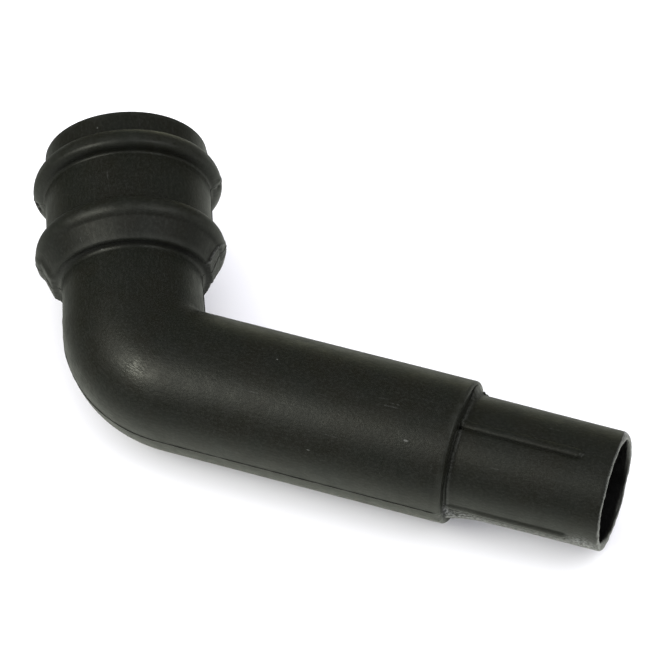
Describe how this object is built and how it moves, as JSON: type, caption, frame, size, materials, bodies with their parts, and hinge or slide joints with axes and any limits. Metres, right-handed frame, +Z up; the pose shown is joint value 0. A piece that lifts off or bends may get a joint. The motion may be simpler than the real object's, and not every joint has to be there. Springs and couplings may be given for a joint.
{
  "type": "downpipe bend",
  "caption": "Round rainwater downpipe bend with a ringed socket, a tight elbow, a long leg and a ribbed spigot.",
  "frame": {"origin": "on the ground, under the middle of the part's bounding box as it lies at rest", "axes": "+X along the leg, which is level, towards the open end of the spigot; +Y to the side that the socket points to; +Z up. The part lies on its leg and on the lower ring of its socket"},
  "size_m": [0.3554, 0.1784, 0.1077],
  "materials": {
    "black_plastic": "satin"
  },
  "bodies": {
    "root": {"downpipe_bend": "black_plastic"}
  },
  "joints": []
}
